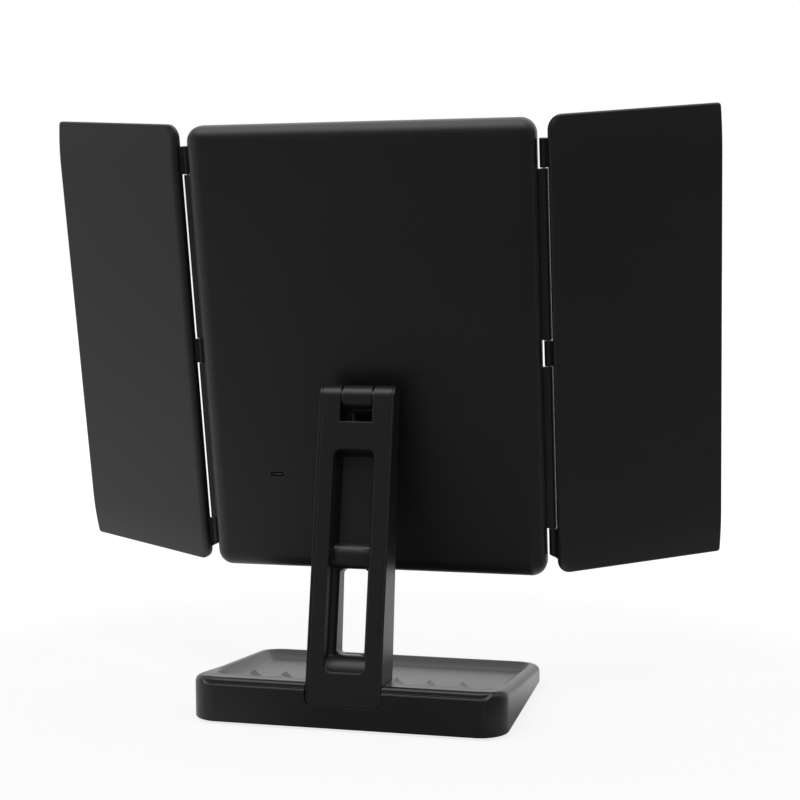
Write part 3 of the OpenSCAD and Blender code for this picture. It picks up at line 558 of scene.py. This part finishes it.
def make_foot_tree():
    """A round foot whose sole is narrower and slightly dished."""
    tree, t, given = grower("rubber_foot", {"Radius": 0.006, "Height": 0.0023, "Turn": (0.0, 0.0, 0.0)})
    sizes = {"Vertices": 48, "Side Segments": 6, "Fill Segments": 6, "Radius": given["Radius"], "Depth": given["Height"]}
    puck = t.add("GeometryNodeMeshCylinder", sizes, fill_type="TRIANGLE_FAN").outputs["Mesh"]
    parts = t.add("ShaderNodeSeparateXYZ", {0: t.add("GeometryNodeInputPosition").outputs[0]}).outputs
    share = t.math("DIVIDE", parts["Z"], given["Height"])
    narrow = t.span(share, -0.5, -0.15, 0.86, 1.0)
    squares = [t.math("MULTIPLY", parts[axis], parts[axis]) for axis in "XY"]
    reach = t.math("DIVIDE", t.math("SQRT", t.math("ADD", *squares)), given["Radius"])
    dish = t.math("MULTIPLY", t.span(reach, 0.3, 0.75, 0.0003, 0.0), t.math("LESS_THAN", share, -0.45))
    up = t.math("ADD", t.math("ADD", parts["Z"], t.math("MULTIPLY", given["Height"], 0.5)), dish)
    set_on_places(t, given, narrowed(t, puck, parts, narrow, up))
    return tree


def make_screw_tree():
    """A pan-head screw with a cross recess, its head's seat at the place and its shank along Z."""
    tree, t, given = grower("pan_head_screw", {"Shank Radius": 0.0015, "Shank Length": 0.005, "Head Radius": 0.0029,
                                               "Head Height": 0.00095, "Turn": (0.0, 0.0, 0.0)})
    head = t.add("GeometryNodeMeshCylinder", {"Vertices": 40, "Side Segments": 5, "Radius": given["Head Radius"],
                                              "Depth": given["Head Height"]}).outputs["Mesh"]
    parts = t.add("ShaderNodeSeparateXYZ", {0: t.add("GeometryNodeInputPosition").outputs[0]}).outputs
    share = t.math("SUBTRACT", 0.5, t.math("DIVIDE", parts["Z"], given["Head Height"]))
    narrow = t.math("SUBTRACT", 1.0, t.math("MULTIPLY", 0.22, t.math("POWER", t.math("MAXIMUM", share, 0.0), 3.0)))
    low = t.math("SUBTRACT", parts["Z"], t.math("MULTIPLY", given["Head Height"], 0.5))
    head = narrowed(t, head, parts, narrow, low)
    rod = {"Vertices": 24, "Radius": given["Shank Radius"], "Depth": given["Shank Length"]}
    shank = t.add("GeometryNodeMeshCylinder", rod).outputs["Mesh"]
    lift = t.add("ShaderNodeCombineXYZ", {2: t.math("MULTIPLY", given["Shank Length"], 0.49)}).outputs[0]
    shank = t.add("GeometryNodeTransform", {"Geometry": shank, "Translation": lift}).outputs[0]
    whole = t.add("GeometryNodeMeshBoolean", operation="UNION")
    t.links.new(head, whole.inputs["Mesh 2"])
    t.links.new(shank, whole.inputs["Mesh 2"])
    cut = t.add("GeometryNodeMeshBoolean", {"Mesh 1": whole.outputs[0]}, operation="DIFFERENCE")
    long, short = t.math("MULTIPLY", given["Head Radius"], 1.15), t.math("MULTIPLY", given["Head Radius"], 0.24)
    low = t.add("ShaderNodeCombineXYZ", {2: t.math("MULTIPLY", given["Head Height"], -1.0)}).outputs[0]
    for across, along in ((long, short), (short, long)):
        size = t.add("ShaderNodeCombineXYZ", {0: across, 1: along, 2: given["Head Height"]}).outputs[0]
        bar = t.add("GeometryNodeMeshCube", {"Size": size}).outputs["Mesh"]
        t.links.new(t.add("GeometryNodeTransform", {"Geometry": bar, "Translation": low}).outputs[0], cut.inputs["Mesh 2"])
    set_on_places(t, given, cut.outputs[0])
    return tree


def middle_of(node, height):
    """The middle of a CAD node's box in X and Y, at the given height."""
    low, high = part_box(node)
    return ((low[0] + high[0]) / 2, (low[1] + high[1]) / 2, height)


foot_tree, screw_tree = make_foot_tree(), make_screw_tree()
corners = [end + "_" + side for end in ("front", "rear") for side in ("left", "right")]


def cast_iron():
    material, t, surface = new_material("cast_iron")
    place = t.add("ShaderNodeTexCoord").outputs["Object"]
    sand = t.add("ShaderNodeTexNoise", {"Vector": place, "Scale": 900.0, "Detail": 5.0, "Roughness": 0.7}).outputs["Fac"]
    rust = t.add("ShaderNodeTexNoise", {"Vector": place, "Scale": 60.0, "Detail": 6.0}).outputs["Fac"]
    t.links.new(t.blend(t.span(rust, 0.5, 0.8), (0.10, 0.10, 0.105), (0.16, 0.10, 0.07)), surface.inputs["Base Color"])
    t.links.new(t.span(sand, 0.2, 0.8, 0.45, 0.75), surface.inputs["Roughness"])
    surface.inputs["Metallic"].default_value = 0.85
    bump = t.add("ShaderNodeBump", {"Strength": 0.4, "Distance": 0.0003, "Height": sand})
    t.links.new(bump.outputs[0], surface.inputs["Normal"])
    return material


iron = cast_iron()
for node in ("ballast_left", "ballast_right"):
    dress(node, iron)
soft_rubber = moulded_plastic("foot_rubber", (0.022, 0.022, 0.022), 0.8, grain=700.0, depth=0.3)
feet = grow("rubber_feet", [middle_of("foot_" + place, 0.0) for place in corners], foot_tree, soft_rubber)
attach(feet, "stand")
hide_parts(*["foot_" + place for place in corners])


def plated_steel(name, colour, rough):
    material, t, surface = new_material(name)
    place = t.add("ShaderNodeTexCoord").outputs["Object"]
    turned = t.add("ShaderNodeMapping", {"Vector": place, "Scale": (300, 300, 4000)}).outputs[0]
    lines = t.add("ShaderNodeTexNoise", {"Vector": turned, "Scale": 1.0, "Detail": 3.0}).outputs["Fac"]
    cloud = t.add("ShaderNodeTexNoise", {"Vector": place, "Scale": 200.0, "Detail": 3.0}).outputs["Fac"]
    edges = t.add("ShaderNodeGroup", node_tree=soft_edges)
    edges.inputs["Radius"].default_value = 0.0002
    t.links.new(t.blend(t.span(cloud, 0.3, 0.7), colour, tuple(c * 0.82 for c in colour)), surface.inputs["Base Color"])
    t.links.new(t.span(lines, 0.2, 0.8, rough - 0.06, rough + 0.08), surface.inputs["Roughness"])
    surface.inputs["Metallic"].default_value = 1.0
    bump = t.add("ShaderNodeBump", {"Strength": 0.15, "Distance": 0.0001, "Height": lines,
                                    "Normal": edges.outputs["Normal"]})
    t.links.new(bump.outputs[0], surface.inputs["Normal"])
    return material


zinc = plated_steel("zinc_plated_steel", (0.55, 0.56, 0.57), 0.3)
seat_z = foot_h + 0.001
for end, length in (("front", 0.005), ("rear", 0.009)):
    held = ["base_screw_" + end + "_" + side for side in ("left", "right")]
    places = [middle_of(node, seat_z) for node in held]
    screws = grow("base_screws_" + end, places, screw_tree, zinc, Shank_Length=length)
    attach(screws, "stand")
    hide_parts(*held)


# ---- Arm ----
# The leaning post, a front shell and a rear cover that meet in a fine seam
# just inside the rear edges. The slot ends in an open window below a round bar.
arm_black = moulded_plastic("arm_black_abs", (0.009, 0.009, 0.0095), 0.36, edge=0.0011)
dress("arm_front_shell", arm_black)
dress("arm_rear_cover", arm_black)
for node in ("arm_screw_left", "arm_screw_right"):
    dress(node, zinc)
arm_lean = math.radians(12.2)
arm_turn = Matrix.Translation((0, rear_y, arm_low)) @ Matrix.Rotation(arm_lean, 4, "X")
bar_half, bar_deep, bar_tall = 0.0131, 0.0054, 0.0077
bar_behind, bar_up = -0.0099, 0.0920
bar_stations, bar_sides, bar_power = 24, 40, 2 / 2.2


def make_slot_bar():
    """The bar across the slot: a pillow that bulges in its middle and thins at its ends."""
    bm = bmesh.new()
    rings = []
    for i in range(bar_stations + 1):
        x = bar_half * math.sin(math.pi * (i / bar_stations - 0.5))
        swell = 0.72 + 0.28 * math.sqrt(max(0.0, 1 - abs(x / bar_half) ** 4.0))
        ring = []
        for j in range(bar_sides):
            c, s = math.cos(math.tau * j / bar_sides), math.sin(math.tau * j / bar_sides)
            n = bar_behind + bar_deep * swell * math.copysign(abs(c) ** bar_power, c)
            v = bar_up + bar_tall * swell * math.copysign(abs(s) ** bar_power, s)
            ring.append(bm.verts.new(arm_turn @ Vector((x, n, v))))
        rings.append(ring)
    for one, two in zip(rings, rings[1:]):
        for j in range(bar_sides):
            bm.faces.new((one[j - 1], one[j], two[j], two[j - 1]))
    bm.faces.new(rings[0])
    bm.faces.new(rings[-1])
    return finish_mesh("slot_bar", bm, arm_black)


slot_bar = make_slot_bar()
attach(slot_bar, "stand")


# ---- Tilt hinge ----
# A steel shaft through the arm's ears and the bracket's knuckle, clamped by a
# nut over two washers so that the panel stays where it is tilted.
for node in ("tilt_shaft", "tilt_nut", "friction_washer_left", "friction_washer_right"):
    dress(node, zinc)
tilt_axis = next(joint["pos_m"] for joint in frame["record"]["behaviour"]["joints"] if joint["name"] == "panel_tilt")
panel_lean, axis_to_mid, axis_drop = math.radians(10), 0.0249, 0.0219
panel_turn = (Matrix.Translation(tilt_axis) @ Matrix.Rotation(-panel_lean, 4, "X")
              @ Matrix.Translation((0, -axis_to_mid, axis_drop)))
panel_t, cover_wall = 0.013, 0.0022
bracket_u, screw_x, screw_u = -0.038, 0.014, 0.013
places = [panel_turn @ Vector((x, panel_t / 2 - cover_wall, bracket_u + u))
          for x in (-screw_x, screw_x) for u in (-screw_u, screw_u)]
bracket_screws = grow("bracket_screws", places, screw_tree, zinc, Shank_Length=0.0052, Head_Height=0.0014,
                      Turn=(-math.pi / 2 - panel_lean, 0.0, 0.0))
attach(bracket_screws, "panel")
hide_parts("bracket_screw_1", "bracket_screw_2", "bracket_screw_3", "bracket_screw_4")
for node in ("hinge_cap_left", "hinge_cap_right", "tilt_bracket"):
    dress(node, arm_black)


# ---- Panel back ----
# The rear cover of the lit centre panel, a smooth black shell with softly
# rounded shoulders, pierced low on one side for the charging socket and its lamp.
back_black = moulded_plastic("panel_back_black", (0.008, 0.008, 0.0085), 0.38)
panel_w, panel_h, panel_corner, frame_t = 0.223, 0.293, 0.010, 0.004
shoulder_wide, shoulder_deep = 0.0105, 0.0088
usb_x, usb_u, lamp_gap = panel_w / 2 - 0.0479, 0.0665 - panel_h / 2, 0.0116


def plate_outline(low, high, half_h, corner_low, corner_high, inset, parts_w=36, parts_h=120, bends=14):
    """Points round a plate whose two sides have their own corner radius, drawn in by an inset."""
    points = []
    steps = ((1, 1), (-1, 1), (-1, -1), (1, -1))
    for quarter, (sx, su) in enumerate(steps):
        corner = corner_high if sx > 0 else corner_low
        r = max(corner - inset, 0.00005)
        cx = (high - max(corner, inset)) if sx > 0 else (low + max(corner, inset))
        cu = su * (half_h - max(corner, inset))
        for i in range(bends + 1):
            angle = math.pi / 2 * (quarter + i / bends)
            points.append(Vector((cx + r * math.cos(angle), cu + r * math.sin(angle))))
    whole = []
    for quarter in range(4):
        arc = points[quarter * (bends + 1):(quarter + 1) * (bends + 1)]
        after = points[((quarter + 1) % 4) * (bends + 1)]
        parts = parts_h if quarter % 2 else parts_w
        whole += arc + [arc[-1].lerp(after, i / parts) for i in range(1, parts)]
    return whole


def plate_edge(x, u, low, high, half_h, corner_low, corner_high):
    """Distance inwards from the plate's outline, and how far its nearest edge faces sideways."""
    corner = corner_low if x < (low + high) / 2 else corner_high
    dx = max(low + corner - x, x - high + corner)
    du = abs(u) - half_h + corner
    if dx > 0 and du > 0:
        reach = math.hypot(dx, du)
        return corner - reach, dx / reach
    return (corner - dx, 1.0) if dx > du else (corner - du, 0.0)


def plate_skin(bm, turn, shape, rings, back, step_x, step_u):
    """The plate's rear surface as a net of points; returns its outermost ring."""
    low, high, half_h, corner_low, corner_high = shape
    outlines = [plate_outline(*shape, inset) for inset in rings]
    points = [p for outline in outlines for p in outline]
    deep = rings[-1] + 0.0008
    across, up = round((high - low - 2 * deep) / step_x), round(2 * (half_h - deep) / step_u)
    for i in range(across + 1):
        for j in range(up + 1):
            x = low + deep + (high - low - 2 * deep) * i / across
            points.append(Vector((x, -half_h + deep + 2 * (half_h - deep) * j / up)))
    kept = delaunay_2d_cdt(points, [], [], 0, 1e-7)
    made = [bm.verts.new(turn @ Vector((p.x, back(p.x, p.y), p.y))) for p in kept[0]]
    for face in kept[2]:
        bm.faces.new([made[i] for i in face])
    first = {source: vert for vert, sources in zip(made, kept[3]) for source in sources}
    return [first[i] for i in range(len(outlines[0]))]


def close_plate(bm, turn, shape, ring, steps):
    """Closes the plate from its outermost ring through (inset, depth) steps to a flat."""
    for inset, n in steps:
        below = [bm.verts.new(turn @ Vector((p.x, n, p.y))) for p in plate_outline(*shape, inset)]
        for i in range(len(ring)):
            if len({ring[i - 1], below[i - 1], below[i], ring[i]}) == 4:
                bm.faces.new((ring[i - 1], below[i - 1], below[i], ring[i]))
        ring = below
    bm.faces.new(ring)


def make_panel_back():
    """The rear cover as a shell with rounded shoulders, cut for the socket and the lamp."""
    shape = (-panel_w / 2, panel_w / 2, panel_h / 2, panel_corner, panel_corner)

    def back(x, u):
        inwards, _ = plate_edge(x, u, *shape)
        away = max(0.0, 1 - max(0.0, inwards) / shoulder_wide)
        return panel_t / 2 - shoulder_deep * (1 - math.sqrt(max(0.0, 1 - away * away)))

    bm = bmesh.new()
    rings = [shoulder_wide * (1 - math.cos(math.pi / 2 * i / 16)) for i in range(17)]
    ring = plate_skin(bm, panel_turn, shape, rings, back, 0.007, 0.007)
    front = -panel_t / 2 + frame_t
    inside = ((0.0, front), (0.0024, front), (0.0024, 0.0012), (0.0050, 0.0030), (0.0092, 0.0041))
    close_plate(bm, panel_turn, shape, ring, inside)
    body = finish_mesh("panel_back", bm, back_black)
    cutters = []
    openings = (("socket_slot", 0.0048, 0.0019, 0.0013, usb_x), ("lamp_hole", 0.0008, 0.0008, 0.00079, usb_x - lamp_gap))
    for name, half_w, half_h, corner, x in openings:
        bm = bmesh.new()
        outline = plate_outline(-half_w, half_w, half_h, corner, corner, 0.0, 1, 1, 8)
        ends = [[bm.verts.new(panel_turn @ Vector((x + p.x, n, usb_u + p.y))) for p in outline] for n in (0.0, 0.012)]
        for i in range(len(outline)):
            bm.faces.new((ends[0][i - 1], ends[0][i], ends[1][i], ends[1][i - 1]))
        for end in ends:
            bm.faces.new(end)
        cutters.append(finish_mesh(name, bm, back_black))
        cut = body.modifiers.new(name, "BOOLEAN")
        cut.operation, cut.solver, cut.object = "DIFFERENCE", "EXACT", cutters[-1]
    apply_modifiers(body)
    for cutter in cutters:
        bpy.data.objects.remove(cutter)
    return body


panel_back = make_panel_back()
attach(panel_back, "panel")
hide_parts("panel_rear_cover")
dress("usb_socket", plated_steel("socket_steel", (0.12, 0.12, 0.125), 0.35))


# The charging lamp's lens is given a dark colour and is only partly clear.
def smoked_lens():
    material, t, surface = new_material("smoked_lens")
    place = t.add("ShaderNodeTexCoord").outputs["Object"]
    haze = t.add("ShaderNodeTexNoise", {"Vector": place, "Scale": 3000.0}).outputs["Fac"]
    t.links.new(t.blend(haze, (0.03, 0.035, 0.03), (0.05, 0.055, 0.05)), surface.inputs["Base Color"])
    t.links.new(t.span(haze, 0.2, 0.8, 0.08, 0.2), surface.inputs["Roughness"])
    surface.inputs["Transmission Weight"].default_value = 0.6
    return material


dress("indicator_lens", smoked_lens())


def circuit_board(name, mask, copper):
    material, t, surface = new_material(name)
    place = t.add("ShaderNodeTexCoord").outputs["Object"]
    tracks = t.add("ShaderNodeTexBrick", {"Vector": place, "Scale": 260.0, "Mortar Size": 0.06, "Color1": (0, 0, 0, 1),
                                          "Color2": (0.1, 0.1, 0.1, 1), "Mortar": (1, 1, 1, 1)}).outputs["Color"]
    weave = t.add("ShaderNodeTexNoise", {"Vector": place, "Scale": 1500.0}).outputs["Fac"]
    t.links.new(t.blend(tracks, mask, copper), surface.inputs["Base Color"])
    t.links.new(t.span(weave, 0.2, 0.8, 0.3, 0.45), surface.inputs["Roughness"])
    bump = t.add("ShaderNodeBump", {"Strength": 0.2, "Distance": 0.0001, "Height": weave})
    t.links.new(bump.outputs[0], surface.inputs["Normal"])
    return material


green_board = circuit_board("green_circuit_board", (0.02, 0.16, 0.06), (0.06, 0.3, 0.12))
white_board = circuit_board("white_led_board", (0.8, 0.8, 0.77), (0.7, 0.66, 0.5))
for node in ("control_board", "button_board"):
    dress(node, green_board)


def foil_pouch():
    material, t, surface = new_material("foil_pouch")
    place = t.add("ShaderNodeTexCoord").outputs["Object"]
    crinkle = t.add("ShaderNodeTexNoise", {"Vector": place, "Scale": 90.0, "Detail": 5.0, "Distortion": 0.6}).outputs["Fac"]
    t.links.new(t.blend(crinkle, (0.55, 0.58, 0.62), (0.72, 0.75, 0.78)), surface.inputs["Base Color"])
    t.links.new(t.span(crinkle, 0.2, 0.8, 0.22, 0.4), surface.inputs["Roughness"])
    surface.inputs["Metallic"].default_value = 0.9
    bump = t.add("ShaderNodeBump", {"Strength": 0.3, "Distance": 0.0006, "Height": crinkle})
    t.links.new(bump.outputs[0], surface.inputs["Normal"])
    return material


dress("battery_cell", foil_pouch())


# ---- Panel front ----
# The frame that carries the glass and a light strip on each side of it, with
# the power button in its lower edge and the hinge knuckles along its sides.
dress("panel_front_frame", back_black)


def silvered_glass(name):
    material, t, surface = new_material(name)
    place = t.add("ShaderNodeTexCoord").outputs["Object"]
    smear = t.add("ShaderNodeTexNoise", {"Vector": place, "Scale": 14.0, "Detail": 6.0, "Roughness": 0.7}).outputs["Fac"]
    surface.inputs["Metallic"].default_value = 1.0
    t.links.new(t.blend(smear, (0.88, 0.9, 0.9), (0.92, 0.935, 0.935)), surface.inputs["Base Color"])
    t.links.new(t.span(smear, 0.45, 0.85, 0.012, 0.05), surface.inputs["Roughness"])
    return material


glass = silvered_glass("silvered_glass")
dress("centre_mirror", glass)


def frosted_strip():
    material, t, surface = new_material("frosted_strip")
    place = t.add("ShaderNodeTexCoord").outputs["Object"]
    frost = t.add("ShaderNodeTexNoise", {"Vector": place, "Scale": 2200.0, "Detail": 2.0}).outputs["Fac"]
    t.links.new(t.blend(frost, (0.84, 0.85, 0.84), (0.9, 0.91, 0.9)), surface.inputs["Base Color"])
    t.links.new(t.span(frost, 0.2, 0.8, 0.42, 0.6), surface.inputs["Roughness"])
    surface.inputs["Subsurface Weight"].default_value = 0.2
    surface.inputs["Subsurface Radius"].default_value = (0.002, 0.002, 0.002)
    bump = t.add("ShaderNodeBump", {"Strength": 0.15, "Distance": 0.0001, "Height": frost})
    t.links.new(bump.outputs[0], surface.inputs["Normal"])
    return material


frosted = frosted_strip()
for node in ("left_diffuser", "right_diffuser"):
    dress(node, frosted)


def make_board_tree():
    """A narrow board with a row of lamps on its front."""
    tree, t, given = grower("lamp_board", {"Count": 16, "Pitch": 0.0145, "Lamp": 0.0028, "Width": 0.0068, "Length": 0.230,
                                           "Board": 0.0012, "Lamp Height": 0.0008, "Turn": (0.0, 0.0, 0.0)})
    size = t.add("ShaderNodeCombineXYZ", {0: given["Width"], 1: given["Board"], 2: given["Length"]}).outputs[0]
    board = t.add("GeometryNodeMeshCube", {"Size": size}).outputs["Mesh"]
    size = t.add("ShaderNodeCombineXYZ", {0: given["Lamp"], 1: given["Lamp Height"], 2: given["Lamp"]}).outputs[0]
    lamp = t.add("GeometryNodeMeshCube", {"Size": size}).outputs["Mesh"]
    run = t.math("MULTIPLY", given["Pitch"], t.math("SUBTRACT", given["Count"], 1.0))
    front = t.math("MULTIPLY", t.math("ADD", given["Board"], given["Lamp Height"]), -0.5)
    start = t.add("ShaderNodeCombineXYZ", {1: front, 2: t.math("MULTIPLY", run, -0.5)}).outputs[0]
    offset = t.add("ShaderNodeCombineXYZ", {2: given["Pitch"]}).outputs[0]
    line = t.add("GeometryNodeMeshLine", {"Count": given["Count"], "Start Location": start, "Offset": offset}).outputs[0]
    lamps = t.add("GeometryNodeInstanceOnPoints", {"Points": line, "Instance": lamp}).outputs[0]
    both = t.add("GeometryNodeJoinGeometry")
    t.links.new(board, both.inputs[0])
    t.links.new(lamps, both.inputs[0])
    set_on_places(t, given, both.outputs[0])
    return tree


strip_edge, strip_w, board_middle = 0.0055, 0.006, -0.0010
strip_x = panel_w / 2 - strip_edge - strip_w / 2
places = [panel_turn @ Vector((x, board_middle, 0)) for x in (-strip_x, strip_x)]
lamp_boards = grow("lamp_boards", places, make_board_tree(), white_board, Turn=(-panel_lean, 0.0, 0.0))
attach(lamp_boards, "panel")
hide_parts("left_led_board", "right_led_board")
button_black = moulded_plastic("button_black", (0.016, 0.016, 0.017), 0.45)
for node in ("power_button", "button_switch"):
    dress(node, button_black)


# ---- Wing hinges ----
# A thin steel pin on each side of the panel runs through the knuckles of the
# frame and of the wing.
for node in ("left_hinge_pin", "right_hinge_pin"):
    dress(node, zinc)


# ---- Wings ----
# Two folding side mirrors: a shallow black cover, a bezel with its hinge
# knuckles, and the glass let into the bezel.
wing_black = moulded_plastic("wing_black_abs", (0.009, 0.009, 0.0095), 0.36)
hinge_x, hinge_y = panel_w / 2 + 0.0034, -panel_t / 2 - 0.0006
wing_back, wing_t, bezel_t, wing_lift = 0.0029, 0.0056, 0.0023, 0.001
wing_front, wing_rear = wing_back + bezel_t, wing_back + wing_t
wing_corner, free_corner, wing_short = 0.009, 0.002, 0.0004
wing_fall, wing_fall_len = 0.0025, 0.030
hinge_round_wide, hinge_round_deep, edge_round = 0.0048, 0.0030, 0.0011
fall_r = (wing_fall_len ** 2 + wing_fall ** 2) / (2 * wing_fall)


def make_wing_cover(side, inner, fold):
    """A wing's rear cover: its ends fall away, and its hinge side is rounded over."""
    shape = (inner, hinge_x - wing_short, panel_h / 2, wing_corner, free_corner)
    mirrored = Matrix.Diagonal((1 if side == "left" else -1, 1, 1, 1))
    turn = (panel_turn @ mirrored @ Matrix.Translation((hinge_x, hinge_y, wing_lift))
            @ Matrix.Rotation(math.radians(-fold), 4, "Z"))

    def back(x, u):
        past = max(0.0, abs(u) - (panel_h / 2 - wing_fall_len))
        n = wing_rear - (fall_r - math.sqrt(fall_r ** 2 - past ** 2))
        inwards, facing = plate_edge(x, u, *shape)
        inwards = max(0.0, inwards)
        small = max(0.0, edge_round - inwards)
        plain = edge_round - math.sqrt(edge_round ** 2 - small ** 2)
        away = max(0.0, 1 - inwards / hinge_round_wide)
        full = hinge_round_deep * (1 - math.sqrt(max(0.0, 1 - away * away)))
        share = ease(facing, 0.1, 0.75) if x < inner + 0.02 else 0.0
        return max(wing_front + 0.0001, n - plain - (full - plain) * share)

    bm = bmesh.new()
    rings = [hinge_round_wide * (1 - math.cos(math.pi / 2 * i / 12)) for i in range(13)]
    ring = plate_skin(bm, turn, shape, rings, back, 0.005, 0.002)
    close_plate(bm, turn, shape, ring, ((0.0, wing_front), (0.003, wing_front)))
    return finish_mesh(side + "_wing_shell", bm, wing_black)


for side, inner, fold in (("left", 0.0019, 25.0), ("right", 0.0009, 28.5)):
    shell = make_wing_cover(side, inner, fold)
    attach(shell, side + "_wing")
    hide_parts(side + "_wing_cover")
    dress(side + "_wing_bezel", wing_black)
    dress(side + "_wing_mirror", glass)
